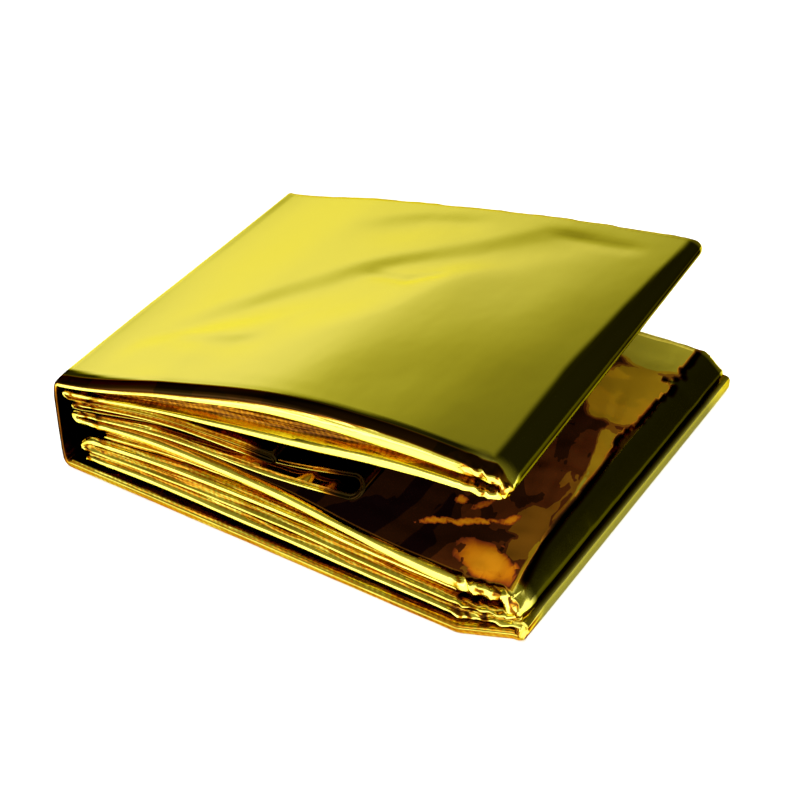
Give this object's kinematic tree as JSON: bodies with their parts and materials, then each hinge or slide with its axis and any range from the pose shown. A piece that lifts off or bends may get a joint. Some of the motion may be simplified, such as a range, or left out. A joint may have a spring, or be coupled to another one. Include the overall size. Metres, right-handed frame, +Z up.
{
  "type": "folded emergency foil blanket",
  "caption": "Gold metallised film blanket pleated and folded into a flat packet, its upper leaf lifted off the stack so that the free side opens as a wedge.",
  "frame": {"origin": "middle of the packet's box, on its flat underside", "axes": "+X from the closed spine to the open free side, +Y from the front edges of the leaves to the back ones, +Z up through the leaves"},
  "size_m": [0.1318, 0.1152, 0.0422],
  "materials": {
    "gold_film": "metallised film, gold, from satin on the flat leaves to mirror bright along the folds"
  },
  "bodies": {
    "root": {"foil_blanket": "gold_film"}
  },
  "joints": []
}
